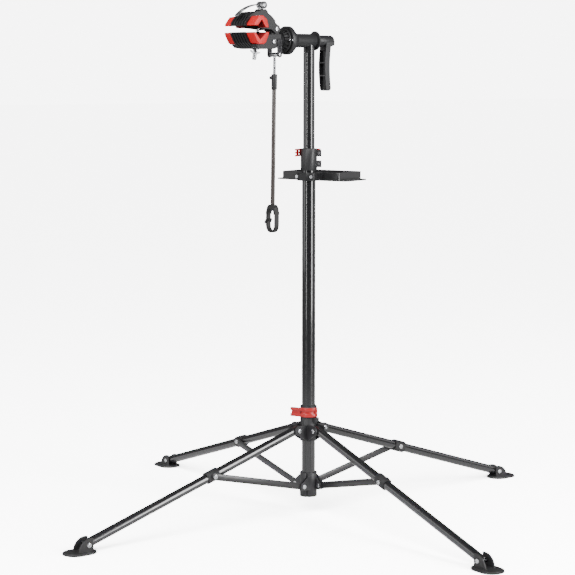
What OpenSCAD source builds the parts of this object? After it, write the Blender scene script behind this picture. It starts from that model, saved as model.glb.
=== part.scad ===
// Folding bicycle repair stand: a telescopic mast on four folding legs, with a clamp
// head that turns about a level axis, a tool tray and a swinging handlebar holder.
// Origin on the floor under the mast. +Z up, clamp towards -X, legs along X and Y.

/* [Mast] */
// Outer diameter of the lower mast tube
outer_d = 38; // [37.6:0.1:38.4]
// Outer diameter of the upper mast tube
inner_d = 32; // [31.6:0.1:32.2]
// Wall of both mast tubes
tube_wall = 1.6; // [1.4:0.1:1.8]
// Height of the height collar's lower edge
collar_z = 976; // [900:2:1000]
// Height of the axis that the head turns about
head_z = 1335; // [1310:5:1400]

/* [Legs] */
// Height of the leg pivots with the legs spread
slider_z = 242; // [238:1:246]
// Distance of the leg pivots from the mast axis
pivot_r = 45; // [44:0.5:47]
// Leg length from pivot to pivot
leg_len = 720; // [690:5:750]
// Outer diameter of the leg tubes
leg_d = 25; // [24:0.5:25.4]
// Distance along a leg from its pivot to the brace bolt
brace_at = 302; // [290:1:310]
// Height of the foot pivots above the floor
foot_pivot_z = 21; // [20:0.5:23]
// Length and width of a foot plate
foot_l = 92; // [84:1:100]
foot_w = 68; // [62:1:74]

/* [Braces] */
// Distance of the lower brace pivots from the mast axis
hub_pivot_r = 32; // [31:0.5:34]
// Height of the lower brace pivots
hub_pivot_z = 80; // [78:1:84]
// Height of the flat bar that a brace is made of
brace_h = 19; // [17:0.5:20]

/* [Clamp] */
// Width of the ribbed middle of each jaw
jaw_w = 70; // [60:1:72]
// Width of each red pad beside it
pad_w = 35; // [32:1:40]
// Number of ribs across a jaw
jaw_ribs = 6; // [5:1:7]

/* [Tray] */
// Height of the tray's underside
tray_z = 946; // [860:1:946]
// Length of the tray across the mast
tray_l = 195; // [180:1:210]
// Depth of the tray away from the mast
tray_w = 118; // [112:1:122]
// Height of the tray's walls
tray_h = 24; // [24:1:28]
// Turn of the tray about the mast from +X
tray_angle = 18; // [0:1:40]

/* [Handlebar holder] */
// Lean of the hanging holder towards the clamp's nose
holder_lean = 1; // [0:0.5:2]
// Length of the dark telescoping tube
holder_tube_l = 330; // [300:5:350]

/* [Hidden] */
$fn = 64;
fit = 0.05;                  // radial running clearance of a pin in its hole
gap = 0.5;                   // side clearance of parts that swing past each other
bolt_r = 4;                  // radius of the frame's pivot bolts
head_r = 6.6;                // radius of their heads
ear_t = 5;                   // thickness of a clevis ear
outer_r = outer_d / 2;
inner_r = inner_d / 2;
leg_r = leg_d / 2;
leg_tilt = asin((slider_z - foot_pivot_z) / leg_len);
brace_in = leg_r + 2;        // inner face of a brace, measured across the leg
brace_t = 4;                 // thickness of a brace
brace_r = pivot_r + brace_at * cos(leg_tilt);
brace_z = slider_z - brace_at * sin(leg_tilt);
brace_len = norm([brace_r - hub_pivot_r, brace_z - hub_pivot_z]);
brace_tilt = atan2(brace_z - hub_pivot_z, brace_r - hub_pivot_r);
hub_r = 24.5;                // bottom hub and lower part of the slider
hub_low = 47;
hub_top = 116;
hub_floor = 5;
tube_z = hub_low + hub_floor;
neck_r = 23.5;
collar_r = 23;
collar_h = 61;
collar_split = -36.4;        // direction of the collar's split, from +X
tube_top = collar_z + 34;    // upper end of the lower mast tube
guide_z = 480;               // lower end of the upper mast tube
head_tube_r = 19;
flange_r = 39;
flange_x = -71;              // rear face of the head tube's flange
flange_t = 12;
cone_l = 23;
screw_at = 36.4;             // flange screws, from the head's axis
bush_r = 16.5;
bush_l = 14;
seal_x = 18;                 // rear end of the head tube, and its seal
seal_t = 4.4;
clutch_x = -78.5;            // rear face of the clutch disc
jaw_face = -97;              // face where the jaw meets the clutch
shaft_r = 6;
shaft_bore = shaft_r + fit;
hinge_x = -125;              // upper jaw hinge, and its height above the head's axis
hinge_dz = 30;
hinge_r = 12;
seat_x = -181;               // skewer seat in the lower jaw
seat_dz = -19;
cam_x = -161;                // cam pin above the upper jaw
cam_dz = 94;
skewer_r = 3;
nut_l = 34.5;                // lower end of the wing nut, from the skewer's seat
skewer_len = norm([cam_x - seat_x, cam_dz - seat_dz]);
skewer_lean = atan2(cam_x - seat_x, cam_dz - seat_dz);
holder_x = -118;
holder_dz = -39;
rod_r = 4;
rod_len = 330;
joint_top = 53;              // joint collar's span below the holder's pivot
joint_low = 95;
tube_low = joint_low - 11 + holder_tube_l;
strap_r = 21.5;
strap_low = tube_low + 74;
pad_in = jaw_w / 2;
pad_out = pad_in + pad_w;
arm_w = 22;                  // half width of the lower jaw's rear arm
saddle_u = 25;               // tray pan's near wall, from the mast axis

// ---- helpers ----

// A leg's own frame: its direction along local +X, its brace on the local +Y side.
module at_leg(i) { rotate([0, 0, 90 * (i - 1)]) children(); }
// Along a spread leg, from its upper pivot.
module along_leg() { translate([pivot_r, 0, slider_z]) rotate([0, leg_tilt, 0]) children(); }
// A flat outline in the X-Z plane, made solid between two values of Y.
module slab(y0, y1) { translate([0, y1, 0]) rotate([90, 0, 0]) linear_extrude(y1 - y0) children(); }
// The same slab on both sides of the middle plane.
module both_slabs(y0, y1) {
    slab(y0, y1) children();
    slab(-y1, -y0) children();
}
// A round bar along Y or X, centred, or from x0 to x1.
module y_bar(r, w) { rotate([90, 0, 0]) cylinder(r = r, h = w, center = true); }
module x_bar(r, x0, x1) { translate([x0, 0, 0]) rotate([0, 90, 0]) cylinder(r = r, h = x1 - x0); }
module ring(r_out, r_in, h) {
    difference() {
        cylinder(r = r_out, h = h);
        translate([0, 0, -1]) cylinder(r = r_in, h = h + 2);
    }
}
module at_head() { translate([0, 0, head_z]) children(); }
// Along the leaning skewer, from its seat or from the cam pin.
module at_seat() { translate([seat_x, 0, head_z + seat_dz]) rotate([0, skewer_lean, 0]) children(); }
module at_cam() { translate([cam_x, 0, head_z + cam_dz]) children(); }
// The holder's frame: pivot at the origin, rod along -Z.
module at_holder() {
    translate([holder_x, 0, head_z + holder_dz]) rotate([0, holder_lean, 0]) children();
}
module at_tray() { rotate([0, 0, tray_angle]) translate([0, 0, tray_z]) children(); }
// A bolt along +Y with a low head at each end of its grip.
module grip_bolt(r, y0, y1, cap_r, cap_h) {
    translate([0, y1, 0]) rotate([90, 0, 0]) cylinder(r = r, h = y1 - y0);
    translate([0, y1 + cap_h, 0]) rotate([90, 0, 0]) cylinder(r1 = cap_r * 0.7, r2 = cap_r, h = cap_h);
    translate([0, y0, 0]) rotate([90, 0, 0]) cylinder(r1 = cap_r, r2 = cap_r * 0.7, h = cap_h);
}
// A rectangle with round corners, flat.
module round_rect(l, w, r) {
    square([l - 2 * r, w], center = true);
    square([l, w - 2 * r], center = true);
    for (sx = [-1, 1], sy = [-1, 1])
        translate([sx * (l / 2 - r), sy * (w / 2 - r)]) circle(r);
}

// ---- mast ----

module outer_tube() color("#15161a") translate([0, 0, tube_z])
    ring(outer_r, outer_r - tube_wall, tube_top - tube_z);

// Ear outline of the bottom hub, in the plane of a leg.
module hub_ear() {
    translate([hub_pivot_r, hub_pivot_z]) circle(12);
    translate([8, hub_pivot_z - 12]) square([hub_pivot_r - 8, 24]);
    polygon([[8, hub_pivot_z + 10], [8, hub_top - 8], [16, hub_top - 8], [hub_pivot_r + 4, hub_pivot_z + 10]]);
}

module bottom_hub() color("#26272a") difference() {
    slot_in = brace_in - gap;
    slot_out = brace_in + brace_t + gap;
    slot_x = 15.8;
    union() {
        translate([0, 0, hub_low]) cylinder(r = hub_r, h = hub_top - hub_low);
        for (i = [1:4]) at_leg(i) {
            slab(slot_in - 4, slot_in) hub_ear();
            slab(slot_out, slot_out + 4) hub_ear();
        }
    }
    translate([0, 0, tube_z]) cylinder(r = outer_r, h = hub_top);
    for (i = [1:4]) at_leg(i) {
        translate([slot_x, slot_in, 0]) cube([40, slot_out - slot_in, hub_top + 10]);
        translate([hub_pivot_r, 0, hub_pivot_z]) rotate([-90, 0, 0]) cylinder(r = bolt_r, h = 30);
    }
}

// Each brace pivot is a pair of half rivets, one in each ear, so that the slot stays free.
module hub_rivets() color("#c9ccd0") {
    ear_in = brace_in - gap - 4;
    ear_out = brace_in + brace_t + gap + 4;
    for (i = [1:4]) at_leg(i) translate([hub_pivot_r, 0, hub_pivot_z]) {
        translate([0, ear_in, 0]) rotate([-90, 0, 0]) cylinder(r = bolt_r, h = 4);
        translate([0, ear_in, 0]) rotate([90, 0, 0]) cylinder(r1 = head_r, r2 = head_r * 0.7, h = 2.4);
        translate([0, ear_out, 0]) rotate([90, 0, 0]) cylinder(r = bolt_r, h = 4);
        translate([0, ear_out, 0]) rotate([-90, 0, 0]) cylinder(r1 = head_r, r2 = head_r * 0.7, h = 3);
    }
}

// Flat outline of an arc that starts at +X and ends in a flared tip, d inside the full shape.
module arc_outline(r_in, r_out, sweep, tip_l, d) {
    far = 3 * r_out;
    difference() {
        circle(r_out);
        circle(r_in + d);
        polygon([[0, 0], [far, 0], [far, -far], [-far, -far], [-far, far * (sweep > 90 ? 1 : -1)],
                 [far * cos(sweep + d), far * sin(sweep + d)]]);
    }
    rotate(sweep) translate([r_in + d, 0])
        polygon([[1.4, -3], [r_out - r_in - d - 0.4, -3],
                 [r_out - r_in + tip_l * 0.55 - d, tip_l + d], [tip_l * 0.55, tip_l + d]]);
}

// A quick-release lever that lies round a tube: a ribbed arc with a flared tip.
module arc_lever(r_in, r_out, sweep, h, fins, tip_l) {
    fin_h = h / (2 * fins - 1);
    skin = 1.8;
    root = 8;                // degrees of solid arc at the hinged end
    far = 2 * r_out;
    difference() {
        linear_extrude(h) arc_outline(r_in, r_out, sweep, tip_l, 0);
        for (k = [1:fins - 1]) translate([0, 0, (2 * k - 1) * fin_h]) linear_extrude(fin_h)
            difference() {
                arc_outline(r_in, r_out + 4, sweep, tip_l, skin);
                polygon([[0, 0], [far, 0], [far * cos(root), far * sin(root)]]);
            }
    }
}

lug_r = 28;                  // bolts of the collar's lugs, from the mast axis
collar_pin_y = 15.5;         // lever pin, across the split
module height_collar() color("#2b2c2f") difference() {
    union() {
        translate([0, 0, collar_z]) cylinder(r = collar_r, h = collar_h);
        rotate([0, 0, collar_split]) for (z = [9, 39])
            translate([collar_r - 4, -9, collar_z + z]) cube([16, 18, 18]);
    }
    translate([0, 0, collar_z - 1]) cylinder(r = outer_r, h = tube_top - collar_z + 1);
    translate([0, 0, collar_z]) cylinder(r = 18, h = collar_h + 1);
    rotate([0, 0, collar_split]) {
        translate([outer_r - 2, -1.5, collar_z - 1]) cube([30, 3, collar_h + 2]);
        for (z = [18, 48]) translate([lug_r, 0, collar_z + z]) y_bar(2.5, 40);
    }
}

// The bush closes the space between the two mast tubes.
module collar_bush() color("#1d1e20") difference() {
    union() {
        translate([0, 0, tube_top - 30]) cylinder(r = outer_r - tube_wall - fit, h = 31);
        translate([0, 0, tube_top]) cylinder(r = 17.95, h = collar_z + collar_h - tube_top - 2);
    }
    translate([0, 0, tube_top - 31]) cylinder(r = inner_r + fit, h = 100);
}

// The upper bolt ends in the upright pin that the lever turns on.
module collar_bolts() color("#c9ccd0") rotate([0, 0, collar_split])
    for (z = [18, 48]) translate([lug_r, 0, collar_z + z]) {
        y_bar(2.5, 18);
        translate([0, -9, 0]) rotate([90, 0, 0]) cylinder(r1 = 4.6, r2 = 3.6, h = 3);
        if (z == 18) translate([0, 9, 0]) rotate([-90, 0, 0]) cylinder(r1 = 4.6, r2 = 3.6, h = 3);
        else {
            translate([0, 8, 0]) rotate([-90, 0, 0]) cylinder(r = 2.5, h = collar_pin_y - 8);
            translate([0, collar_pin_y, -9]) cylinder(r = pin_r, h = 20);
        }
    }

module collar_lever() color("#c4161c") rotate([0, 0, collar_split]) translate([0, 0, collar_z + 39])
    difference() {
        union() {
            rotate([0, 0, 31]) arc_lever(25.5, 30.5, 144, 21, 3, 14);
            translate([lug_r, collar_pin_y, 0]) cylinder(r = 5, h = 21);
        }
        translate([lug_r, collar_pin_y, -1]) cylinder(r = pin_r + fit, h = 23);
        // room for the bolt's end
        translate([lug_r, collar_pin_y, 5.5]) cylinder(r = 6.5, h = 7);
    }

// ---- folding base ----

// Ear outline of the slider, in the plane of a leg.
module slider_ear() {
    translate([pivot_r, slider_z]) circle(14);
    translate([12, slider_z - 14]) square([pivot_r - 12, 28]);
    polygon([[12, slider_z - 30], [22, slider_z - 30], [pivot_r, slider_z - 14], [12, slider_z - 12]]);
}

base_pin_angle = -80;        // direction of the base lever's hinge
base_pin_r = 28.7;           // and its distance from the mast axis
slider_low = 209;            // lower end of the slider, its step and its top
slider_step = 256;
slider_top = 308;
lever_z = 279;               // underside of the base lever
pin_r = 1.5;                 // pins of both quick-release levers
module base_slider() color("#26272a") difference() {
    union() {
        translate([0, 0, slider_low]) cylinder(r = hub_r, h = slider_step - slider_low);
        translate([0, 0, slider_step - 1]) cylinder(r = neck_r, h = slider_top - slider_step + 1);
        for (i = [1:4]) at_leg(i) both_slabs(leg_r + gap, leg_r + gap + ear_t) slider_ear();
        rotate([0, 0, base_pin_angle]) translate([neck_r - 4, -8, lever_z - 15]) cube([14, 16, 12.5]);
    }
    translate([0, 0, slider_low - 1]) cylinder(r = outer_r + fit, h = slider_top - slider_low + 2);
    for (i = [1:4]) at_leg(i) {
        translate([pivot_r, 0, slider_z]) y_bar(bolt_r, 60);
        translate([hub_r + 1, -leg_r - gap, slider_low - 1])
            cube([50, 2 * (leg_r + gap), lever_z - 16 - slider_low]);
    }
    rotate([0, 0, base_pin_angle]) translate([0, 0, lever_z - 1]) {
        translate([outer_r - 2, 8, 0]) cube([20, 2, 40]);
        translate([base_pin_r, 0, -20]) cylinder(r = pin_r + fit, h = 20);
    }
}

module leg_bolts() color("#c9ccd0") for (i = [1:4]) at_leg(i)
    translate([pivot_r, 0, slider_z])
        grip_bolt(bolt_r, -leg_r - gap - ear_t, leg_r + gap + ear_t, head_r, 3.6);

module base_lever() color("#d3151b") rotate([0, 0, base_pin_angle]) translate([0, 0, lever_z])
    union() {
        mirror([0, 1, 0]) arc_lever(25.5, 31, 98, 26, 2, 26);
        translate([base_pin_r, 0, 0]) cylinder(r = 4.5, h = 26);
        translate([base_pin_r, 0, -14]) cylinder(r = pin_r, h = 16);
    }

module leg_tube(i) color("#15161a") at_leg(i) along_leg() difference() {
    x_bar(leg_r, -8, leg_len + 8);
    x_bar(leg_r - 1.5, -9, leg_len + 9);
    for (x = [0, brace_at, leg_len]) translate([x, 0, 0]) y_bar(bolt_r + fit, 40);
}

module brace_clip(i) color("#1d1e20") at_leg(i) along_leg() difference() {
    clip_y = leg_r + 1.5;
    intersection() {
        x_bar(leg_r + 4, brace_at - 19, brace_at + 19);
        translate([brace_at - 20, -clip_y, -30]) cube([40, 2 * clip_y, 60]);
    }
    x_bar(leg_r, brace_at - 30, brace_at + 30);
    translate([brace_at, 0, 0]) y_bar(bolt_r, 60);
}

// The brace bolt through the leg and its clip, and the foot bolt at the leg's end.
module leg_pins(i) color("#c9ccd0") at_leg(i) along_leg() {
    translate([brace_at, 0, 0])
        grip_bolt(bolt_r, -leg_r - 1.5, brace_in + brace_t + gap, head_r, 3.4);
    translate([leg_len, 0, 0])
        grip_bolt(bolt_r, -leg_r - gap - 4, leg_r + gap + 4, head_r, 3);
}

module brace_bar(i) color("#2b2c2f") at_leg(i)
    translate([brace_r, 0, brace_z]) rotate([0, -brace_tilt, 0]) difference() {
        slab(brace_in, brace_in + brace_t) {
            circle(brace_h / 2);
            translate([-brace_len, 0]) circle(brace_h / 2);
            translate([-brace_len, -brace_h / 2]) square([brace_len, brace_h]);
        }
        for (x = [0, -brace_len]) translate([x, 0, 0]) y_bar(bolt_r + fit, 60);
    }

module foot_plate(i) color("#1b1c1e") at_leg(i)
    translate([pivot_r + leg_len * cos(leg_tilt), 0, 0]) difference() {
        foot_x = 20;
        union() {
            translate([foot_x, 0, 0]) linear_extrude(3.4) round_rect(foot_l, foot_w, foot_w / 2 - 0.1);
            translate([foot_x, 0, 0]) linear_extrude(5.4) round_rect(foot_l - 8, foot_w - 8, foot_w / 2 - 4.1);
            both_slabs(leg_r + gap, leg_r + gap + 4) intersection() {
                translate([-6, 3]) circle(36);
                translate([-13, 1]) square([60, 45]);
            }
        }
        translate([0, 0, foot_pivot_z]) y_bar(bolt_r + fit, 60);
    }

// ---- upper mast and head tube ----

module inner_tube() color("#15161a") difference() {
    translate([0, 0, guide_z]) ring(inner_r, inner_r - tube_wall, head_z - guide_z);
    at_head() x_bar(head_tube_r, -40, 40);
}

module tube_guide() color("#1d1e20") translate([0, 0, guide_z - 6]) difference() {
    cylinder(r = outer_r - tube_wall - fit, h = 36);
    translate([0, 0, 6]) cylinder(r = inner_r, h = 40);
    translate([0, 0, -1]) cylinder(r = 8, h = 20);
}

module head_tee() color("#2b2c2f") difference() {
    spigot = 34;
    union() {
        at_head() {
            x_bar(head_tube_r, -60, seal_x);
            translate([flange_x, 0, 0]) rotate([0, 90, 0])
                cylinder(r1 = flange_r, r2 = head_tube_r, h = cone_l);
            x_bar(flange_r, flange_x - flange_t, flange_x);
        }
        translate([0, 0, head_z - head_tube_r - spigot])
            cylinder(r = inner_r - tube_wall, h = spigot + head_tube_r);
    }
    at_head() {
        x_bar(bush_r, flange_x - flange_t - 4, seal_x + 3);
        x_bar(flange_r - 5, flange_x - flange_t - 1, clutch_x + 0.5);
        for (s = [-1, 1]) translate([flange_x, s * screw_at, 0]) x_bar(1.5, -flange_t - 1, -2);
    }
}

module head_bushes() color("#1d1e20") at_head() for (x = [flange_x - 2, seal_x - bush_l])
    translate([x, 0, 0]) rotate([0, 90, 0]) ring(bush_r - fit, shaft_bore, bush_l);

module seal_ring() color("#121315") at_head() translate([seal_x, 0, 0])
    rotate([0, 90, 0]) ring(26.5, shaft_r + 0.6, seal_t);

module flange_screws() color("#c9ccd0") at_head()
    for (s = [-1, 1]) translate([flange_x - flange_t, s * screw_at, 0]) {
        x_bar(1.5, 0, flange_t - 2);
        translate([-2.4, 0, 0]) rotate([0, 90, 0]) cylinder(r1 = 1.9, r2 = 2.5, h = 2.4);
    }

module head_shaft() color("#8d9095") at_head() x_bar(shaft_r, jaw_face - 11, 73);

module clutch_disc() color("#1d1e20") at_head() difference() {
    ribs = 16;
    cone_top = clutch_x - 10.5;
    union() {
        x_bar(flange_r - 7, cone_top, clutch_x);
        translate([jaw_face, 0, 0]) rotate([0, 90, 0])
            cylinder(r1 = 19, r2 = 25, h = cone_top + 0.1 - jaw_face);
        intersection() {
            translate([jaw_face, 0, 0]) rotate([0, 90, 0])
                cylinder(r1 = 21.5, r2 = 31.5, h = cone_top + 0.1 - jaw_face);
            for (k = [0:ribs - 1]) rotate([360 / ribs * k, 0, 0])
                translate([jaw_face, 0, -1.2]) cube([cone_top + 1 - jaw_face, 40, 2.4]);
        }
    }
    x_bar(shaft_r, jaw_face - 1, clutch_x + 1);
}

// ---- crank ----

grip_low = 134;              // grip's lower end below the head's axis
// Middle of the bowed grip at a depth below the axis.
function grip_x(t) = 57.5 - 4 * sin(180 * t);
function grip_edge(side) = [for (k = [0:8])
    let (t = k / 8) [grip_x(t) + side * 8.3, -16 - (grip_low - 20) * t]];

module crank_handle() color("#2b2c2f") at_head() difference() {
    union() {
        x_bar(15.5, seal_x + seal_t + 0.6, 74);
        x_bar(13, 73.9, 79);
        slab(-15, 15) {
            polygon(concat([[52, 0], [79, 0], [78, -12]], grip_edge(1), [for (k = [8:-1:0]) grip_edge(-1)[k]]));
            translate([grip_x(1), -grip_low + 4]) circle(8.3);
        }
    }
    x_bar(shaft_r + 0.5, seal_x, 74);
    x_bar(11, 48, 62);
    // channel in the grip's inner face, crossed by two webs
    slab(-11.5, 11.5) for (k = [0:2]) {
        top = -26 - 36 * k;
        translate([30, top - 34]) square([grip_x(0.5) + 1 - 30, 33.5]);
    }
}

module crank_nut() color("#b5b8bc") at_head() translate([48, 0, 0]) rotate([0, 90, 0])
    ring(11, shaft_bore, 14);

// ---- clamp ----

// Outline of the lower jaw; its front and underside move in by d between the ribs.
function lower_outline(d) = [
    [-243 + d, 20.5], [-240 + d, 12], [-229 + d, -8 + d], [-213, -21 + d], [-190, -24 + d],
    [-160, -24 + d], [-160, 10], [-178, 15], [-187, 20.5], [-193, 20.5], [-215, 0], [-237, 20.5]];
// Outline of the upper jaw; its back moves in by d between the ribs.
function upper_outline(d) = [
    [-241 + d, 37], [-238 + d, 48], [-224 + d, 65 - d], [-204, 75 - d], [-184, 77 - d], [-168, 74 - d],
    [-152, 64 - d], [-140, 52], [-140, 27], [-187, 31], [-196, 32], [-213, 50], [-230, 37]];

// Ribs that stand proud of a slimmer core, side by side across the jaw.
module ribbed(n) {
    pitch = jaw_w / (n + (n - 1) * 0.6);
    slab(-jaw_w / 2 + 0.5, jaw_w / 2 - 0.5) children(0);
    for (k = [0:n - 1]) translate([0, -jaw_w / 2 + k * pitch * 1.6, 0]) slab(0, pitch) children(1);
}

module lower_jaw() color("#232427") at_head() difference() {
    union() {
        ribbed(jaw_ribs) { polygon(lower_outline(3)); polygon(lower_outline(0)); }
        slab(-arm_w, arm_w)
            polygon([[-166, -24], [-138, -24], [-112, -17], [-112, 16], [-150, 15], [-166, 9]]);
        slab(-12.4, 12.4) {
            translate([hinge_x, hinge_dz]) circle(hinge_r);
            translate([hinge_x - hinge_r, 0]) square([2 * hinge_r, hinge_dz]);
        }
        x_bar(18, jaw_face - 16, jaw_face);
        both_slabs(pad_in - 1, pad_in + 22)
            polygon([[-222, -12.5], [-198, -12.5], [-186, -2], [-178, -2], [-178, -24], [-190, -24], [-213, -21]]);
    }
    x_bar(shaft_r, jaw_face - 11, -90);
    translate([hinge_x, 0, hinge_dz]) y_bar(bolt_r, 60);
    translate([-136, 0, -4]) y_bar(bolt_r, 80);
    // swinging room for the skewer and its round seat
    translate([0, 0, -head_z]) at_seat() {
        slab(-4.5, 4.5) polygon([[-4.5, 0], [4.5, 0], [15, 48], [-8.6, 48]]);
        slab(-4.5, 4.5) polygon([[-4.5, 0], [4.5, 0], [8.6, -16], [-8.6, -16]]);
        y_bar(8.3, 20.6);
        translate([0, 0, 17]) slab(-9, 9) polygon([[-10, 0], [10, 0], [17, 30], [-14, 30]]);
    }
    translate([seat_x - 8.1, -10.2, -26]) cube([16.2, 20.4, 7]);
}

module lower_pads() color("#d8181e") at_head() both_slabs(pad_in, pad_out)
    polygon([[-237, 20], [-236, 14], [-224, -8], [-218, -12], [-203, -12], [-197, -8],
             [-187, 15], [-187, 20], [-195, 20], [-215, 0], [-231, 20]]);

module jaw_bolts() color("#c9ccd0") at_head() {
    translate([hinge_x, 0, hinge_dz]) grip_bolt(bolt_r, -20.4, 20.4, head_r, 3.2);
    translate([-136, 0, -4]) grip_bolt(bolt_r, -arm_w, arm_w, head_r, 3.2);
    translate([holder_x, 0, holder_dz]) grip_bolt(3, -arm_w - 2, arm_w + 2, 4.6, 2.6);
}

// Two bright side plates hang from the rear arm and carry the holder's pivot.
module holder_bracket() color("#d2d5d9") at_head() difference() {
    both_slabs(arm_w, arm_w + 2) {
        translate([holder_x, holder_dz]) circle(8);
        translate([holder_x - 8, holder_dz]) square([16, -holder_dz - 4]);
        translate([holder_x, -4]) circle(8);
    }
    translate([holder_x, 0, holder_dz]) y_bar(3, 80);
}

module upper_jaw() color("#232427") at_head() difference() {
    union() {
        ribbed(jaw_ribs) { polygon(upper_outline(3)); polygon(upper_outline(0)); }
        slab(-20, 20) {
            translate([hinge_x, hinge_dz]) circle(hinge_r);
            polygon([[-160, 68], [-150, 63], [-130, 48], [-114, 35], [-125, 18.2], [-142, 27], [-160, 29]]);
        }
        slab(-14, 14) polygon([[-178, 70], [-174, 81], [-167, 84], [-157, 84], [-150, 76], [-146, 58]]);
    }
    translate([hinge_x, 0, hinge_dz]) {
        y_bar(bolt_r + fit, 60);
        slab(-13, 13) {
            circle(hinge_r + 1);
            translate([-hinge_r - 1, -30]) square([60, 30]);
            translate([0, -30]) square([60, 60]);
        }
    }
    translate([0, 0, -head_z]) at_cam() {
        y_bar(11.7, 60);
        rotate([0, skewer_lean, 0]) {
            slab(-4.5, 4.5) polygon([[-4.6, 0], [4.6, 0], [27, -78], [-13, -78]]);
            slab(-9, 9) polygon([[-15, -50], [24, -50], [32, -82], [-20, -82]]);
        }
    }
}

module upper_pads() color("#d8181e") at_head() both_slabs(pad_in, pad_out)
    polygon([[-236, 37], [-235, 43], [-220, 62], [-206, 64], [-193, 54], [-187, 32],
             [-198, 33], [-210, 53], [-222, 37]]);

// ---- skewer ----

module skewer_seat() color("#b5b8bc") at_seat() difference() {
    y_bar(8, 20);
    translate([0, 0, -10]) cylinder(r = skewer_r + fit, h = 20);
}

module skewer_rod() color("#c9ccd0") at_seat() {
    translate([0, 0, 2 - nut_l]) cylinder(r = skewer_r, h = skewer_len + nut_l - 2);
    translate([0, 0, skewer_len]) y_bar(4.4, 25);
}

module wing_nut() color("#c9ccd0") at_seat() difference() {
    union() {
        translate([0, 0, -nut_l]) cylinder(r = 5.5, h = nut_l - 12);
        translate([0, 0, -19]) cylinder(r1 = 7, r2 = 5.6, h = 10);
        for (a = [0, 180]) rotate([0, 0, a]) slab(-1.3, 1.3)
            polygon([[4, -18.5], [9, -18], [16, -14], [16.5, -11], [13, -10.5], [8, -12], [4, -12]]);
    }
    translate([0, 0, -nut_l - 1]) cylinder(r = skewer_r + fit, h = nut_l);
}

spring_r = 6.6;
wire_r = 0.9;
// Points of a coil: one ring of wire_sides points for each step along the helix.
wire_sides = 6;
steps = 14;
turns = 5;
spring_h = 26;
function coil_ring(k) = let (a = 360 * k / steps, z = spring_h * k / (steps * turns))
    [for (j = [0:wire_sides - 1]) let (b = 360 * j / wire_sides, r = spring_r + wire_r * cos(b))
        [r * cos(a), r * sin(a), z + wire_r * sin(b)]];
module jaw_spring() color("#c9ccd0") at_seat() translate([0, 0, 21]) {
    n = steps * turns;
    polyhedron(
        points = [for (k = [0:n]) each coil_ring(k)],
        faces = concat(
            [for (k = [0:n - 1], j = [0:wire_sides - 1]) let (a = k * wire_sides, m = (j + 1) % wire_sides)
                [a + j, a + m, a + wire_sides + m, a + wire_sides + j]],
            [[for (j = [wire_sides - 1:-1:0]) j]],
            [[for (j = [0:wire_sides - 1]) n * wire_sides + j]]));
}

// Blade of the cam lever: an arc that falls towards the jaw's nose.
function blade(off) = [for (k = [0:7]) let (a = 86 + 49 * k / 7, r = 106.6 + off)
    [-8.7 + r * cos(a), -105.3 + r * sin(a)]];
module cam_lever() color("#d2d5d9") at_cam() difference() {
    union() {
        both_slabs(4.6, 12) circle(10);
        slab(-7.5, 7.5) polygon(concat(blade(1.7), [for (k = [7:-1:0]) blade(-1.7)[k]]));
    }
    y_bar(4.4 + fit, 60);
    translate([-20, -4.6, -12]) cube([34, 9.2, 40]);
}

// ---- handlebar holder ----

module holder_rod() color("#d2d5d9") at_holder() difference() {
    union() {
        y_bar(6, 2 * arm_w - 1);
        translate([0, 0, -rod_len]) cylinder(r = rod_r, h = rod_len);
    }
    y_bar(3 + fit, 60);
}

module holder_collar() color("#2b2c2f") at_holder() difference() {
    translate([0, 0, -joint_low]) cylinder(r = 8, h = joint_low - joint_top);
    translate([0, 0, -joint_low - 1]) cylinder(r = rod_r + fit, h = 80);
    translate([0, 0, -joint_low - 1]) cylinder(r = 6, h = 12);
    translate([0, 0, -joint_top - 10]) x_bar(2, -20, 0);
}

module holder_tube() color("#3a3535") at_holder() translate([0, 0, -tube_low])
    ring(6, 4.4, holder_tube_l);

module holder_screw() color("#1d1e20") at_holder() translate([0, 0, -joint_top - 10]) {
    x_bar(2 - fit, -10, -4.6);
    translate([-14.5, 0, 0]) rotate([0, 90, 0]) cylinder(r1 = 4, r2 = 5, h = 5);
}

// A flat outline in the Y-Z plane, made solid across X.
module cross_slab(w) { rotate([90, 0, 90]) linear_extrude(w, center = true) children(); }

module strap_clip() color("#161719") at_holder() translate([0, 0, -tube_low]) difference() {
    cross_slab(16) difference() {
        polygon([[-9, 3], [-16, -4], [-strap_r, -20], [-strap_r, -24], [strap_r, -24],
                 [strap_r, -20], [16, -4], [9, 3]]);
        translate([0, -24]) circle(strap_r - 6);
    }
    cylinder(r = 6, h = 20);
}

module holder_strap() color("#161719") at_holder() translate([0, 0, -strap_low + strap_r]) {
    drop = strap_low - strap_r - tube_low - 24;
    cross_slab(14) {
        difference() {
            union() {
                circle(strap_r);
                translate([-strap_r, 0]) square([2 * strap_r, drop]);
            }
            circle(strap_r - 4);
            translate([4 - strap_r, 0]) square([2 * strap_r - 8, drop + 1]);
        }
    }
    rotate([38, 0, 0]) translate([-9, strap_r - 3, -12]) cube([18, 6, 15]);
}

// ---- tool tray ----

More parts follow.
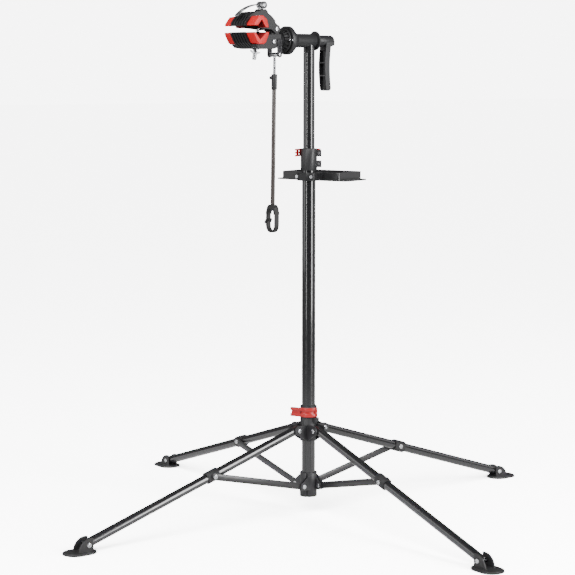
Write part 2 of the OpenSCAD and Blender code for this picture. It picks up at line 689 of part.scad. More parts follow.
floor_t = 3;
wall_t = 3;
flange_l = 24;
tray_v = 14;                 // the pan's middle, off the mast's axis
module tray_pan() color("#18191b") at_tray() difference() {
    mid_u = saddle_u + tray_w / 2;
    union() {
        translate([mid_u, tray_v, 0]) {
            linear_extrude(tray_h) round_rect(tray_w, tray_l, 8);
            linear_extrude(floor_t) round_rect(tray_w - 6, tray_l + 2 * flange_l, 16);
        }
        translate([3, -31, 2]) cube([saddle_u, 62, 22]);
    }
    translate([mid_u, tray_v, 0]) {
        difference() {
            translate([0, 0, floor_t]) linear_extrude(tray_h)
                round_rect(tray_w - 2 * wall_t, tray_l - 2 * wall_t, 6);
            translate([-14, -tray_l, 0]) cube([2.4, 2 * tray_l, 18]);
            for (v = [-40, 40]) translate([-14, v - 1.2, 0]) cube([tray_w, 2.4, 18]);
        }
        for (s = [-1, 1], k = [-1, 0, 1]) translate([22 * k, s * (tray_l / 2 + 11), -1])
            cylinder(r = 5, h = 10);
    }
    translate([0, 0, -1]) cylinder(r = outer_r + fit, h = 40);
    for (s = [-1, 1]) translate([-40, s * 24, 13]) x_bar(2.5, 0, 58);
}

module tray_clamp() color("#232427") at_tray() translate([0, 0, 2]) difference() {
    union() {
        translate([-14, -31, 0]) cube([13, 62, 22]);
        intersection() {
            cylinder(r = 32, h = 22);
            translate([-30, -31, 0]) cube([20, 62, 22]);
        }
    }
    translate([0, 0, -1]) cylinder(r = outer_r + fit, h = 40);
    for (s = [-1, 1]) translate([-40, s * 24, 11]) {
        x_bar(2.5, 0, 60);
        x_bar(6, 0, 18);
    }
}

module tray_bolts() color("#c9ccd0") at_tray() for (s = [-1, 1]) translate([0, s * 24, 13]) {
    x_bar(2.5, -22, 18);
    x_bar(4.6, -26, -22);
}

outer_tube();
bottom_hub();
hub_rivets();
height_collar();
collar_bush();
collar_bolts();
collar_lever();
base_slider();
leg_bolts();
base_lever();
leg_tube(1);  // leg_tube_1
leg_tube(2);  // leg_tube_2
leg_tube(3);  // leg_tube_3
leg_tube(4);  // leg_tube_4
brace_clip(1);  // brace_clip_1
brace_clip(2);  // brace_clip_2
brace_clip(3);  // brace_clip_3
brace_clip(4);  // brace_clip_4
leg_pins(1);  // leg_pins_1
leg_pins(2);  // leg_pins_2
leg_pins(3);  // leg_pins_3
leg_pins(4);  // leg_pins_4
brace_bar(1);  // brace_bar_1
brace_bar(2);  // brace_bar_2
brace_bar(3);  // brace_bar_3
brace_bar(4);  // brace_bar_4
foot_plate(1);  // foot_plate_1
foot_plate(2);  // foot_plate_2
foot_plate(3);  // foot_plate_3
foot_plate(4);  // foot_plate_4
inner_tube();
tube_guide();
head_tee();
head_bushes();
seal_ring();
flange_screws();
head_shaft();
clutch_disc();
lower_jaw();
lower_pads();
jaw_bolts();
holder_bracket();
crank_handle();
crank_nut();
upper_jaw();
upper_pads();
skewer_seat();
skewer_rod();
jaw_spring();
wing_nut();
cam_lever();
holder_rod();
holder_collar();
holder_tube();
holder_screw();
strap_clip();
holder_strap();
tray_pan();
tray_clamp();
tray_bolts();
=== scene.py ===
import bpy
import bmesh
import math
from mathutils import Matrix, Vector


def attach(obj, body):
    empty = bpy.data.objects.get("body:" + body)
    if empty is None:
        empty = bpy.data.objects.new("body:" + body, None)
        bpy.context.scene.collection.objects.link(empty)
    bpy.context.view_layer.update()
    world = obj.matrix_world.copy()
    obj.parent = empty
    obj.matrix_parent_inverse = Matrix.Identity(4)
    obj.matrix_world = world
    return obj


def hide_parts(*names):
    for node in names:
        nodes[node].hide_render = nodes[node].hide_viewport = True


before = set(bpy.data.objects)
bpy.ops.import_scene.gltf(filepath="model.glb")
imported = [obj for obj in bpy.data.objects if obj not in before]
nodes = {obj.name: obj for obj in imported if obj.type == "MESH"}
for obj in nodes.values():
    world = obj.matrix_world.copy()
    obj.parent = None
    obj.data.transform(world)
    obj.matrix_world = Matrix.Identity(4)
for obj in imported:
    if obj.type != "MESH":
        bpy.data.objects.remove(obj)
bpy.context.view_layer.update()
mm = 0.001
print("stand loaded:", len(nodes), "CAD nodes")


# shader building

class Wire:
    # an output socket that can be used in plain sums
    def __init__(self, paint, socket):
        self.paint = paint
        self.socket = socket

    def sum(self, operation, first, second):
        return self.paint.node("ShaderNodeMath", {"operation": operation}, {0: first, 1: second})

    def __add__(self, other):
        return self.sum("ADD", self, other)

    def __radd__(self, other):
        return self.sum("ADD", other, self)

    def __sub__(self, other):
        return self.sum("SUBTRACT", self, other)

    def __rsub__(self, other):
        return self.sum("SUBTRACT", other, self)

    def __mul__(self, other):
        return self.sum("MULTIPLY", self, other)

    def __rmul__(self, other):
        return self.sum("MULTIPLY", other, self)


class Paint:
    # one material, with its nodes made by one method
    def __init__(self, name, fixed):
        self.material = bpy.data.materials.new(name)
        self.material.use_nodes = True
        self.tree = self.material.node_tree
        self.surface = self.tree.nodes["Principled BSDF"]
        for socket, value in fixed.items():
            self.surface.inputs[socket].default_value = value
        self.place = self.node("ShaderNodeTexCoord", {}, {}, "Object")

    def node(self, kind, settings, inputs, output=0):
        made = self.tree.nodes.new(kind)
        for key, value in settings.items():
            setattr(made, key, value)
        for key, value in inputs.items():
            self.feed(made.inputs[key], value)
        return Wire(self, made.outputs[output])

    def feed(self, socket, value):
        if isinstance(value, Wire):
            self.tree.links.new(value.socket, socket)
        else:
            socket.default_value = value

    def noise(self, scale, detail=3, place=None, rough=0.5):
        return self.node("ShaderNodeTexNoise", {}, {
            "Vector": place or self.place, "Scale": scale, "Detail": detail, "Roughness": rough}, "Fac")

    def band(self, value, low, high):
        # 0 below low, 1 above high
        return self.node("ShaderNodeMapRange", {"interpolation_type": "SMOOTHSTEP"}, {
            "Value": value, "From Min": low, "From Max": high}, "Result")

    def blend(self, mask, first, second):
        return self.node("ShaderNodeMix", {"data_type": "RGBA"}, {
            "Factor": mask, 6: first, 7: second}, 2)

    def stretch(self, scale):
        return self.node("ShaderNodeMapping", {}, {"Vector": self.place, "Scale": scale})

    def bump(self, height, depth):
        return self.node("ShaderNodeBump", {}, {
            "Height": height, "Strength": 1.0, "Distance": depth}, "Normal")

    def finish(self, varying):
        for socket, value in varying.items():
            self.feed(self.surface.inputs[socket], value)
        return self.material


def rgb(r, g, b):
    return (r, g, b, 1.0)


def grey(level):
    return rgb(level, level, level)


def glossCoat(name, look):
    # powder coat: orange peel, faint wipe marks and specks of dust
    paint = Paint(name, {"Specular IOR Level": look["sheen"], "Coat Roughness": look["coatRough"]})
    peel = paint.noise(look["peel"], 2)
    cloud = paint.noise(14, 4)
    wipe = paint.noise(60, 5, paint.stretch(look["wipe"]))
    dust = paint.band(paint.noise(2600, 1), 0.70, 0.76)
    tone = paint.blend(cloud, look["dark"], look["light"])
    return paint.finish({
        "Base Color": paint.blend(dust * 0.35, tone, rgb(0.11, 0.11, 0.115)),
        "Roughness": look["rough"] + cloud * 0.06 + paint.band(wipe, 0.55, 0.75) * 0.07 + dust * 0.2,
        "Coat Weight": look["coat"] - dust * 0.3,
        "Normal": paint.bump(peel, look["depth"])})


def moulded(name, look):
    # moulded plastic: spark-eroded grain, flow shading and pale scuffs
    paint = Paint(name, {"Specular IOR Level": look["sheen"]})
    grain = paint.noise(look["grain"], 3)
    cell = paint.node("ShaderNodeTexVoronoi", {}, {
        "Vector": paint.place, "Scale": look["grain"] * 0.55}, "Distance")
    flow = paint.noise(30, 4)
    scuff = paint.band(paint.noise(look["scuffScale"], 6, None, 0.7), 0.60, 0.74)
    tone = paint.blend(flow, look["dark"], look["light"])
    return paint.finish({
        "Base Color": paint.blend(scuff * look["scuff"], tone, look["worn"]),
        "Roughness": look["rough"] + flow * 0.08 - scuff * 0.08 + grain * 0.05,
        "Normal": paint.bump(grain * 0.6 + cell * 0.4, look["depth"])})


def plated(name, look):
    # plated or bare metal: fine turning lines, smudges and small pits
    paint = Paint(name, {"Specular IOR Level": 0.5})
    line = paint.noise(look["line"], 3, paint.stretch(look["lay"]))
    smudge = paint.noise(90, 4)
    pit = paint.band(paint.noise(1900, 2), 0.68, 0.78)
    tone = paint.blend(smudge, look["dark"], look["light"])
    return paint.finish({
        "Base Color": paint.blend(pit * 0.5, tone, look["tarnish"]),
        "Metallic": 1.0 - pit * 0.15,
        "Roughness": look["rough"] + paint.band(smudge, 0.45, 0.75) * look["smear"] + pit * 0.15,
        "Normal": paint.bump(line, look["depth"])})


coats = {
    "tube": {
        "dark": rgb(0.004, 0.004, 0.005), "light": rgb(0.008, 0.008, 0.009), "rough": 0.22,
        "coat": 0.8, "coatRough": 0.06, "sheen": 0.5, "peel": 260, "depth": 0.0000012,
        "wipe": (6, 6, 0.6)},
    "brace": {
        "dark": rgb(0.010, 0.010, 0.011), "light": rgb(0.018, 0.018, 0.019), "rough": 0.34,
        "coat": 0.25, "coatRough": 0.2, "sheen": 0.5, "peel": 700, "depth": 0.00001,
        "wipe": (1, 1, 3)},
    "lever": {
        "dark": rgb(0.32, 0.002, 0.004), "light": rgb(0.44, 0.004, 0.006), "rough": 0.34,
        "coat": 0.25, "coatRough": 0.12, "sheen": 0.5, "peel": 500, "depth": 0.000006,
        "wipe": (2, 2, 1)},
    "holder": {
        "dark": rgb(0.030, 0.024, 0.022), "light": rgb(0.052, 0.042, 0.038), "rough": 0.30,
        "coat": 0.35, "coatRough": 0.15, "sheen": 0.5, "peel": 500, "depth": 0.000005,
        "wipe": (5, 5, 0.5)},
}
plastics = {
    "nylon": {
        "dark": rgb(0.011, 0.011, 0.012), "light": rgb(0.021, 0.021, 0.023),
        "worn": rgb(0.07, 0.07, 0.075), "rough": 0.38, "sheen": 0.45, "grain": 2600,
        "depth": 0.00002, "scuff": 0.35, "scuffScale": 160},
    "bush": {
        "dark": rgb(0.010, 0.010, 0.011), "light": rgb(0.018, 0.018, 0.019),
        "worn": rgb(0.05, 0.05, 0.05), "rough": 0.45, "sheen": 0.4, "grain": 2200,
        "depth": 0.000012, "scuff": 0.3, "scuffScale": 200},
    "foot": {
        "dark": rgb(0.010, 0.010, 0.010), "light": rgb(0.019, 0.019, 0.020),
        "worn": rgb(0.09, 0.088, 0.085), "rough": 0.50, "sheen": 0.45, "grain": 1800,
        "depth": 0.00002, "scuff": 0.45, "scuffScale": 110},
    "jaw": {
        "dark": rgb(0.009, 0.009, 0.010), "light": rgb(0.017, 0.017, 0.018),
        "worn": rgb(0.08, 0.08, 0.082), "rough": 0.36, "sheen": 0.3, "grain": 2400,
        "depth": 0.000012, "scuff": 0.3, "scuffScale": 180},
    "tray": {
        "dark": rgb(0.008, 0.008, 0.009), "light": rgb(0.016, 0.016, 0.017),
        "worn": rgb(0.07, 0.07, 0.072), "rough": 0.26, "sheen": 0.5, "grain": 2000,
        "depth": 0.000012, "scuff": 0.35, "scuffScale": 90},
    "pad": {
        "dark": rgb(0.52, 0.006, 0.008), "light": rgb(0.70, 0.011, 0.014),
        "worn": rgb(0.36, 0.02, 0.02), "rough": 0.40, "sheen": 0.35, "grain": 1900,
        "depth": 0.00002, "scuff": 0.4, "scuffScale": 120},
    # the pads' groove finish is a darker red: painted shade inside the V groove
    "padGroovePaintedShade": {
        "dark": rgb(0.16, 0.004, 0.006), "light": rgb(0.26, 0.006, 0.008),
        "worn": rgb(0.10, 0.01, 0.01), "rough": 0.55, "sheen": 0.4, "grain": 1900, "depth": 0.00002,
        "scuff": 0.4, "scuffScale": 120},
    # pale grey for the grip webs: a painted highlight on ribs of black plastic
    "webPaintedHighlight": {
        "dark": rgb(0.46, 0.46, 0.47), "light": rgb(0.60, 0.60, 0.61),
        "worn": rgb(0.66, 0.66, 0.67), "rough": 0.40, "sheen": 0.5, "grain": 2200, "depth": 0.00001,
        "scuff": 0.4, "scuffScale": 150},
    "strap": {
        "dark": rgb(0.009, 0.009, 0.009), "light": rgb(0.018, 0.018, 0.018),
        "worn": rgb(0.06, 0.06, 0.06), "rough": 0.52, "sheen": 0.4, "grain": 2400, "depth": 0.00002,
        "scuff": 0.35, "scuffScale": 160},
    # a lighter finish for the tray's bevels: a painted highlight along its rim
    "rimPaintedHighlight": {
        "dark": rgb(0.10, 0.10, 0.105), "light": rgb(0.16, 0.16, 0.165),
        "worn": rgb(0.22, 0.22, 0.225), "rough": 0.30, "sheen": 0.5, "grain": 2400,
        "depth": 0.00001, "scuff": 0.4, "scuffScale": 160},
    # the edge finish is lighter than the nylon: a painted highlight along rounded edges, with some real
    # edge wear
    "edge": {
        "dark": rgb(0.036, 0.036, 0.038), "light": rgb(0.062, 0.062, 0.065),
        "worn": rgb(0.14, 0.14, 0.145), "rough": 0.34, "sheen": 0.5, "grain": 2600,
        "depth": 0.00003, "scuff": 0.5, "scuffScale": 300},
}
metals = {
    "zinc": {
        "dark": rgb(0.52, 0.53, 0.55), "light": rgb(0.74, 0.75, 0.77),
        "tarnish": rgb(0.30, 0.28, 0.26), "rough": 0.24, "smear": 0.16, "line": 1400,
        "lay": (1, 1, 1), "depth": 0.000003},
    "chrome": {
        "dark": rgb(0.70, 0.71, 0.73), "light": rgb(0.88, 0.89, 0.90),
        "tarnish": rgb(0.45, 0.44, 0.43), "rough": 0.07, "smear": 0.10, "line": 500,
        "lay": (1, 1, 1), "depth": 0.000001},
    "blackChrome": {
        "dark": rgb(0.030, 0.030, 0.032), "light": rgb(0.055, 0.055, 0.058),
        "tarnish": rgb(0.12, 0.12, 0.12), "rough": 0.22, "smear": 0.14, "line": 700,
        "lay": (1, 1, 1), "depth": 0.000002},
    "steel": {
        "dark": rgb(0.25, 0.255, 0.265), "light": rgb(0.42, 0.425, 0.435),
        "tarnish": rgb(0.16, 0.15, 0.14), "rough": 0.30, "smear": 0.15, "line": 900,
        "lay": (12, 1, 1), "depth": 0.000004},
}
finishes = {}
for name, look in coats.items():
    finishes[name] = glossCoat(name + "Coat", look)
for name, look in plastics.items():
    finishes[name] = moulded(name + "Plastic", look)
for name, look in metals.items():
    finishes[name] = plated(name + "Metal", look)
print("finishes mixed:", len(finishes))


# mesh building

def shadeByAngle(mesh, degrees=32):
    # smooth faces with sharp edges where the surface turns hard
    made = bmesh.new()
    made.from_mesh(mesh)
    for face in made.faces:
        face.smooth = True
    for edge in made.edges:
        edge.smooth = len(edge.link_faces) == 2 and edge.calc_face_angle(0) < math.radians(degrees)
    made.to_mesh(mesh)
    made.free()


def addPiece(name, made, body, finish, replaces=(), place=None, inner=None):
    # a finished bmesh in millimetres becomes a piece in metres, riding on its body
    bmesh.ops.recalc_face_normals(made, faces=made.faces)
    made.transform(Matrix.Scale(mm, 4))
    if place:
        made.transform(place)
    mesh = bpy.data.meshes.new(name)
    made.to_mesh(mesh)
    made.free()
    mesh.materials.append(finishes[finish])
    # a second finish for faces marked 1, such as the pads' groove faces painted darker as painted shade
    if inner:
        mesh.materials.append(finishes[inner])
    shadeByAngle(mesh)
    piece = bpy.data.objects.new(name, mesh)
    bpy.context.scene.collection.objects.link(piece)
    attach(piece, body)
    if replaces:
        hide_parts(*replaces)
    return piece


def lathe(made, profile, sides=64, turn=None):
    # rings of (radius or radius function, height) about Z; ends close on themselves
    turn = turn or Matrix.Identity(4)
    rings = []
    for radius, height in profile:
        ring = []
        for k in range(sides):
            angle = 2 * math.pi * k / sides
            r = radius(angle) if callable(radius) else radius
            ring.append(made.verts.new(turn @ Vector((r * math.cos(angle), r * math.sin(angle), height))))
        rings.append(ring)
    for low, high in zip(rings, rings[1:]):
        for k in range(sides):
            made.faces.new((low[k], low[(k + 1) % sides], high[(k + 1) % sides], high[k]))
    if profile[0] != profile[-1]:
        made.faces.new(list(reversed(rings[0])))
        made.faces.new(rings[-1])
    else:
        bmesh.ops.remove_doubles(made, verts=rings[0] + rings[-1], dist=1e-6)


def slab(made, outline, low, high, rounding, turn, segments=2):
    # a flat outline made solid between two heights, its edges rounded
    bottom = [made.verts.new(turn @ Vector((x, y, low))) for x, y in outline]
    top = [made.verts.new(turn @ Vector((x, y, high))) for x, y in outline]
    faces = [made.faces.new(list(reversed(bottom))), made.faces.new(top)]
    count = len(outline)
    for k in range(count):
        after = (k + 1) % count
        faces.append(made.faces.new((bottom[k], bottom[after], top[after], top[k])))
    bmesh.ops.recalc_face_normals(made, faces=faces)
    edges = dict.fromkeys(edge for face in faces for edge in face.edges
                          if edge.calc_face_angle(0) > math.radians(25))
    bmesh.ops.bevel(made, geom=list(edges), offset=rounding, segments=segments, profile=0.5,
                    affect="EDGES", clamp_overlap=True)


def hexSocket(across):
    # radius of a hexagon at an angle
    half = across / 2
    return lambda angle: half / math.cos((angle + math.pi / 6) % (math.pi / 3) - math.pi / 6)


def slotted(width, length):
    # radius of a screwdriver slot at an angle
    def reach(angle):
        side, along = abs(math.sin(angle)), abs(math.cos(angle))
        return min(width / 2 / max(side, 1e-6), length / 2 / max(along, 1e-6), length / 2)
    return reach


def boltHead(made, radius, height, turn, socket):
    # a low domed head standing on z = 0 of its own frame, with its drive cut in
    lathe(made, [(radius * 0.98, -0.4), (radius, 0.15 * height), (radius, 0.35 * height),
                 (radius * 0.93, 0.72 * height), (radius * 0.78, 0.93 * height), (radius * 0.62, height),
                 (socket, height), (socket, height * 0.45)], 72, turn)


sideways = Matrix.Rotation(math.radians(-90), 4, "X")   # z of a frame becomes +Y
otherWay = Matrix.Rotation(math.radians(90), 4, "X")    # z of a frame becomes -Y
lengthways = Matrix.Rotation(math.radians(90), 4, "Y")  # z of a frame becomes +X


def move(x, y, z):
    return Matrix.Translation((x, y, z))


def spin(degrees, axis="Z"):
    return Matrix.Rotation(math.radians(degrees), 4, axis)


def throughBolt(made, at, radius, near, far, head, height, drive):
    # a shank along Y between two driven heads, in the frame "at"
    lathe(made, [(radius, near - 0.3), (radius, far + 0.3)], 40, at @ sideways)
    boltHead(made, head, height, at @ move(0, far, 0) @ sideways, drive)
    boltHead(made, head, height, at @ move(0, near, 0) @ otherWay, drive)


def soften(name, finish, width, edge=None, angle=34):
    # a carried-over node gets its finish, and real rounded edges from modifiers; an edge finish, if given,
    # paints the bevels lighter as a painted highlight with some edge wear
    node = nodes[name]
    for k in range(len(node.material_slots)):
        node.material_slots[k].material = finishes[finish]
    if width:
        weld = node.modifiers.new("weld", "WELD")
        weld.merge_threshold = 1e-6
        flat = node.modifiers.new("flat", "DECIMATE")
        flat.decimate_type = "DISSOLVE"
        flat.angle_limit = math.radians(0.6)
        edges = node.modifiers.new("edges", "BEVEL")
        edges.width = width * mm
        edges.segments = 2
        edges.limit_method = "ANGLE"
        edges.angle_limit = math.radians(angle)
        edges.harden_normals = True
        edges.use_clamp_overlap = True
        # the bevel faces take the edge finish: painted highlight along the edges, with edge wear
        if edge:
            node.data.materials.append(finishes[edge])
            edges.material = len(node.material_slots) - 1
    return node


# mast

mast = {"lower": 19, "upper": 16, "wall": 1.6, "bottom": 52, "collarTop": 1010, "guide": 480,
        "head": 1335, "cope": 11}


def tubeProfile(radius, wall, low, high, lip=0.5):
    # closed section of a tube with rounded lips
    inside = radius - wall
    return [(inside, low + lip), (inside + lip, low), (radius - lip, low), (radius, low + lip),
            (radius, high - lip), (radius - lip, high), (inside + lip, high), (inside, high - lip),
            (inside, low + lip)]


made = bmesh.new()
lathe(made, tubeProfile(mast["lower"], mast["wall"], mast["bottom"], mast["collarTop"]), 96)
addPiece("lowerMastTube", made, "mast", "tube", ["outer_tube"])

made = bmesh.new()
lathe(made, tubeProfile(mast["upper"], mast["wall"], mast["guide"], mast["head"] - mast["cope"]), 96)
addPiece("upperMastTube", made, "upper_mast", "tube", ["inner_tube"])
soften("tube_guide", "bush", 0.4)
soften("collar_bush", "bush", 0.3)
soften("height_collar", "nylon", 0.7, "edge")
soften("collar_bolts", "zinc", 0.2)
soften("collar_lever", "lever", 0.6)
soften("bottom_hub", "nylon", 0.7, "edge")
print("mast dressed")


# folding base

legs = {"pivotOut": 45, "pivotUp": 242, "length": 720, "radius": 12.5, "wall": 1.5, "braceAt": 302,
        "footUp": 21, "past": 8}
braces = {"hubOut": 32, "hubUp": 80, "inner": 14.5, "thick": 4, "height": 19}
legTilt = math.degrees(math.asin((legs["pivotUp"] - legs["footUp"]) / legs["length"]))
braceOut = legs["pivotOut"] + legs["braceAt"] * math.cos(math.radians(legTilt))
braceUp = legs["pivotUp"] - legs["braceAt"] * math.sin(math.radians(legTilt))
braceLength = math.hypot(braceOut - braces["hubOut"], braceUp - braces["hubUp"])
braceTilt = math.degrees(math.atan2(braceUp - braces["hubUp"], braceOut - braces["hubOut"]))

soften("base_slider", "nylon", 0.8, "edge")
soften("base_lever", "lever", 0.7)
for n in range(1, 5):
    direction = spin(90 * (n - 1))
    along = direction @ move(legs["pivotOut"], 0, legs["pivotUp"]) @ spin(legTilt, "Y")
    made = bmesh.new()
    lathe(made, tubeProfile(legs["radius"], legs["wall"], -legs["past"], legs["length"] + legs["past"]),
          72, along @ lengthways)
    addPiece(f"legTube{n}", made, f"leg_{n}", "tube", [f"leg_tube_{n}"])
    soften(f"brace_clip_{n}", "bush", 0.5)
    soften(f"foot_plate_{n}", "foot", 0.8, "edge")

    # flat brace with rounded ends and edges
    made = bmesh.new()
    half = braces["height"] / 2
    arc = [(half * math.cos(math.radians(a)), half * math.sin(math.radians(a))) for a in range(-90, 91, 9)]
    outline = arc + [(-braceLength - x, -y) for x, y in arc]
    frameOfBrace = direction @ move(braceOut, 0, braceUp) @ spin(-braceTilt, "Y") @ otherWay
    slab(made, outline, -braces["inner"] - braces["thick"], -braces["inner"], 0.8, frameOfBrace)
    addPiece(f"brace{n}", made, f"brace_{n}", "brace", [f"brace_bar_{n}"])

bolts = {"shank": 4, "head": 6.6, "slotWide": 1.7, "slotLong": 12.4, "ear": 5, "gap": 0.5,
         "footEar": 4, "clip": 1.5}
slotDrive = slotted(bolts["slotWide"], bolts["slotLong"])
pivotBolts, hubRivets = bmesh.new(), bmesh.new()
for n in range(1, 5):
    direction = spin(90 * (n - 1))
    reach = legs["radius"] + bolts["gap"] + bolts["ear"]
    throughBolt(pivotBolts, direction @ move(legs["pivotOut"], 0, legs["pivotUp"]) @ spin(20 * n, "Y"),
                bolts["shank"], -reach, reach, bolts["head"], 3.4, slotDrive)
    # half rivets in the two ears of the hub
    at = direction @ move(braces["hubOut"], 0, braces["hubUp"])
    inner = braces["inner"] - bolts["gap"]
    outer = braces["inner"] + braces["thick"] + bolts["gap"]
    lathe(hubRivets, [(bolts["shank"], inner - 4.2), (bolts["shank"], inner)], 40, at @ sideways)
    lathe(hubRivets, [(bolts["shank"], outer), (bolts["shank"], outer + 4.2)], 40, at @ sideways)
    boltHead(hubRivets, bolts["head"], 2.3, at @ move(0, inner - 4, 0) @ otherWay, slotDrive)
    boltHead(hubRivets, bolts["head"], 2.9, at @ move(0, outer + 4, 0) @ sideways, slotDrive)
    # brace bolt through the leg and its clip, and foot bolt
    legPins = bmesh.new()
    along = direction @ move(legs["pivotOut"], 0, legs["pivotUp"]) @ spin(legTilt, "Y")
    throughBolt(legPins, along @ move(legs["braceAt"], 0, 0) @ spin(35 * n, "Y"), bolts["shank"],
                -legs["radius"] - bolts["clip"], outer, bolts["head"], 3.2, slotDrive)
    reach = legs["radius"] + bolts["gap"] + bolts["footEar"]
    throughBolt(legPins, along @ move(legs["length"], 0, 0) @ spin(-50 * n, "Y"), bolts["shank"],
                -reach, reach, bolts["head"], 2.9, slotDrive)
    addPiece(f"legPins{n}", legPins, f"leg_{n}", "zinc", [f"leg_pins_{n}"])
addPiece("pivotBolts", pivotBolts, "slider", "zinc", ["leg_bolts"])
addPiece("hubRivets", hubRivets, "mast", "zinc", ["hub_rivets"])
print("base dressed")


# head, crank and clamp

soften("head_tee", "nylon", 0.7, "edge")
soften("head_bushes", "bush", 0)
soften("seal_ring", "bush", 0.8)
soften("flange_screws", "zinc", 0)
soften("head_shaft", "steel", 0.5)
soften("clutch_disc", "bush", 0.4)

# a slotted screw in the face of the clutch disc
clutchScrew = {"face": -89, "side": -29, "up": 2, "head": 4.4, "high": 2.2, "slotWide": 1.3, "slotLong": 8}
made = bmesh.new()
at = move(clutchScrew["face"], clutchScrew["side"], mast["head"] + clutchScrew["up"]) @ spin(-90, "Y")
boltHead(made, clutchScrew["head"], clutchScrew["high"], at,
         slotted(clutchScrew["slotWide"], clutchScrew["slotLong"]))
addPiece("clutchScrew", made, "head", "zinc")
soften("crank_handle", "nylon", 1.2, "edge")

# two webs stand a little proud of the channel in the grip, painted pale grey as a painted highlight on the
# black ribs
webs = {"wide": 23, "thick": 2.2, "left": 46.2, "right": 55, "up": (-60.8, -96.8)}
made = bmesh.new()
for up in webs["up"]:
    low, high = up - webs["thick"] / 2, up + webs["thick"] / 2
    outline = [(webs["left"], low), (webs["right"], low), (webs["right"], high), (webs["left"], high)]
    slab(made, outline, -webs["wide"] / 2, webs["wide"] / 2, 0.5, move(0, 0, mast["head"]) @ otherWay)
addPiece("gripWebs", made, "crank", "webPaintedHighlight")
soften("crank_nut", "zinc", 0.3)
soften("lower_jaw", "jaw", 0.6, "edge")

# pads: each a block with a V groove, its edges well rounded and the groove's faces painted darker as
# painted shade
pads = {"inner": 35.05, "outer": 70, "round": 1.7, "frontLip": 7, "rearLip": 8,
        "low": [(-237, 20), (-236, 14), (-224, -8), (-218, -12), (-203, -12), (-197, -8), (-187, 15),
                (-187, 20), (-195, 20), (-215, 0), (-231, 20)],
        "high": [(-236, 37), (-235, 43), (-220, 62), (-206, 64), (-193, 54), (-187, 32), (-198, 33),
                 (-210, 53), (-222, 37)]}
headFrame = move(0, 0, mast["head"])


def padPair(name, body, outline, opening, replaced):
    made = bmesh.new()
    for low, high in ((pads["inner"], pads["outer"]), (-pads["outer"], -pads["inner"])):
        slab(made, outline, -high, -low, pads["round"], headFrame @ otherWay, 3)
    bmesh.ops.recalc_face_normals(made, faces=made.faces)
    left = min(x for x, _ in outline) + pads["frontLip"]
    right = max(x for x, _ in outline) - pads["rearLip"]
    for face in made.faces:
        # faces inside the V groove take the darker finish, painted shade in the groove
        middle = face.calc_center_median()
        if face.normal.z * opening > 0.3 and left < middle.x < right and abs(face.normal.y) < 0.3:
            face.material_index = 1
    addPiece(name, made, body, "pad", [replaced], None, "padGroovePaintedShade")


padPair("lowerPads", "head", pads["low"], 1, "lower_pads")
padPair("upperPads", "upper_jaw", pads["high"], -1, "upper_pads")

# hinge, rear and holder bolts of the jaws: place along and above the head's axis, shank, reach,
# and the head's radius and height
jawBolts = {"hinge": (-125, 30, 3.9, 20.4, 6.6, 3.0), "rear": (-136, -4, 4, 22, 6.6, 3.0),
            "holder": (-118, -39, 3, 24, 4.6, 2.5)}
made = bmesh.new()
for x, up, shank, reach, head, high in jawBolts.values():
    throughBolt(made, headFrame @ move(x, 0, up), shank, -reach, reach, head, high, hexSocket(head))
addPiece("jawBolts", made, "head", "zinc", ["jaw_bolts"])
soften("holder_bracket", "blackChrome", 0.4)
soften("upper_jaw", "jaw", 0.6, "edge")
soften("skewer_seat", "steel", 0.5)
soften("skewer_rod", "zinc", 0.3)
soften("jaw_spring", "steel", 0)
soften("wing_nut", "zinc", 0.5)
soften("cam_lever", "chrome", 0.8)
print("clamp dressed")


# handlebar holder and tray

soften("holder_rod", "zinc", 0.3)
soften("holder_collar", "nylon", 0.8, "edge")
soften("holder_tube", "holder", 0.3)
soften("holder_screw", "bush", 0.4)
soften("strap_clip", "strap", 0.8)
soften("holder_strap", "strap", 0.6)

# eyelets stand round the strap's holes, on its lower right side
strap = {"x": -118, "down": 39, "lean": 1, "middle": 466.5, "radius": 21.5, "eye": 3.4, "hole": 1.9,
         "turns": (-96, -122, -148)}
strapFrame = move(strap["x"], 0, mast["head"] - strap["down"]) @ spin(strap["lean"], "Y")
strapFrame = strapFrame @ move(0, 0, -strap["middle"])
made = bmesh.new()
for turn in strap["turns"]:
    at = strapFrame @ spin(turn, "X") @ move(0, 0, strap["radius"] - 0.3)
    lathe(made, [(strap["eye"], 0), (strap["eye"], 0.5), (strap["eye"] - 0.5, 0.9),
                 (strap["hole"] + 0.3, 0.9), (strap["hole"], 0.5), (strap["hole"], 0.1)], 32, at)
addPiece("strapEyelets", made, "holder_reach", "strap")
# the tray's bevels take the lighter rim finish, a painted highlight along the rim
soften("tray_pan", "tray", 1.3, "rimPaintedHighlight")
soften("tray_clamp", "jaw", 1.0)
soften("tray_bolts", "zinc", 0.3)
print("holder and tray dressed")


# studio

studio = {"floor": 0.75, "room": 0.06, "seen": 6.2, "horizon": 7.0, "air": 0.15, "sun": 4.0,
          "sunSpread": 56, "half": 60, "under": -0.0005, "sheetIn": 1.0, "sheetOut": 2.6}
camera = {"at": (-2.98816, -3.94962, 1.24398), "along": (0.58941, 0.79888, -0.11996), "lens": 110.742}
# soft boxes: turn from the camera's side about the mast, distance, height of the middle, width, tall, glow
softBoxes = {
    "rightBox": (56, 3.8, 1.5, 1.0, 3.6, 20),
    "rightGlow": (112, 4.2, 1.4, 2.2, 2.8, 1.2),
    "leftStrip": (-40, 3.8, 1.5, 0.26, 3.6, 20),
    "leftGlow": (-84, 4.0, 1.6, 2.6, 2.8, 2.0),
}

floorMesh = bpy.data.meshes.new("studioFloor")
made = bmesh.new()
made.faces.new([made.verts.new((x * studio["half"], y * studio["half"], studio["under"]))
                for x, y in ((-1, -1), (1, -1), (1, 1), (-1, 1))])
made.to_mesh(floorMesh)
made.free()
floorPaint = Paint("studioFloorPaint", {"Specular IOR Level": 0.0, "Roughness": 1.0})
seen = floorPaint.node("ShaderNodeLightPath", {}, {}, "Is Camera Ray")
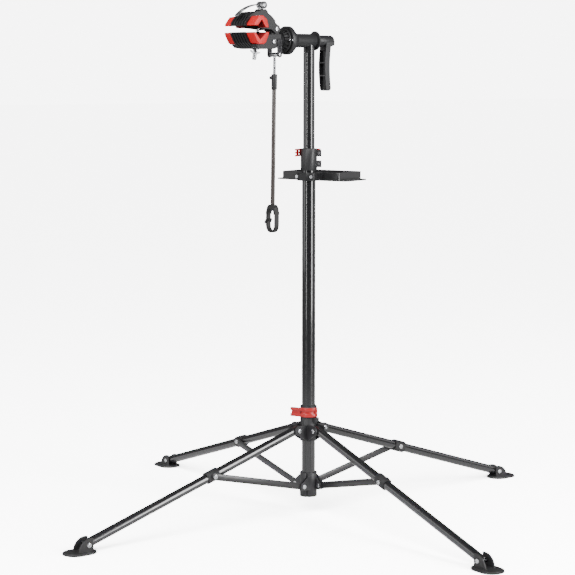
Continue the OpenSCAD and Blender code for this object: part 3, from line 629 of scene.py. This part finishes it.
# for all but camera rays the sheet is painted light near the stand's feet, glowing back at the stand, and
# falls off into painted shade, a painted dark room, farther out
out = floorPaint.node("ShaderNodeVectorMath", {"operation": "LENGTH"}, {0: floorPaint.place}, "Value")
sheetWithPaintedFalloff = floorPaint.blend(floorPaint.band(out, studio["sheetIn"], studio["sheetOut"]),
                         grey(studio["floor"]), grey(studio["room"]))
floorMesh.materials.append(floorPaint.finish({
    "Base Color": floorPaint.blend(seen, sheetWithPaintedFalloff, grey(studio["seen"]))}))
floor = bpy.data.objects.new("studioFloor", floorMesh)
bpy.context.scene.collection.objects.link(floor)

world = bpy.data.worlds.new("studioAir")
bpy.context.scene.world = world
world.use_nodes = True
air = world.node_tree
rays = air.nodes.new("ShaderNodeLightPath")
level = air.nodes.new("ShaderNodeMapRange")
level.inputs["To Min"].default_value = studio["air"]
level.inputs["To Max"].default_value = studio["horizon"]
air.links.new(rays.outputs["Is Camera Ray"], level.inputs["Value"])
air.links.new(level.outputs["Result"], air.nodes["Background"].inputs["Strength"])
air.nodes["Background"].inputs["Color"].default_value = grey(1)


def addLamp(name, kind, at, toward):
    lamp = bpy.data.lights.new(name, kind)
    holder = bpy.data.objects.new(name, lamp)
    bpy.context.scene.collection.objects.link(holder)
    holder.location = at
    holder.rotation_euler = (Vector(toward) - Vector(at)).to_track_quat("-Z", "Y").to_euler()
    return lamp


sun = addLamp("ceiling", "SUN", (-2.6, -1.7, 3.2), (0, 0, 0))
sun.energy = studio["sun"]
sun.angle = math.radians(studio["sunSpread"])
toCamera = math.atan2(camera["at"][1], camera["at"][0])
for name, (turn, far, up, width, tall, glow) in softBoxes.items():
    bearing = toCamera + math.radians(turn)
    box = addLamp(name, "AREA", (far * math.cos(bearing), far * math.sin(bearing), up), (0, 0, 0.9))
    box.shape = "RECTANGLE"
    box.size, box.size_y = width, tall
    box.energy = glow * math.pi * width * tall

lensData = bpy.data.cameras.new("standCamera")
lensData.lens = camera["lens"]
lensData.sensor_width = 36
eye = bpy.data.objects.new("standCamera", lensData)
bpy.context.scene.collection.objects.link(eye)
eye.location = camera["at"]
eye.rotation_euler = Vector(camera["along"]).to_track_quat("-Z", "Y").to_euler()
bpy.context.scene.camera = eye
print("studio lit")

bpy.context.view_layer.update()
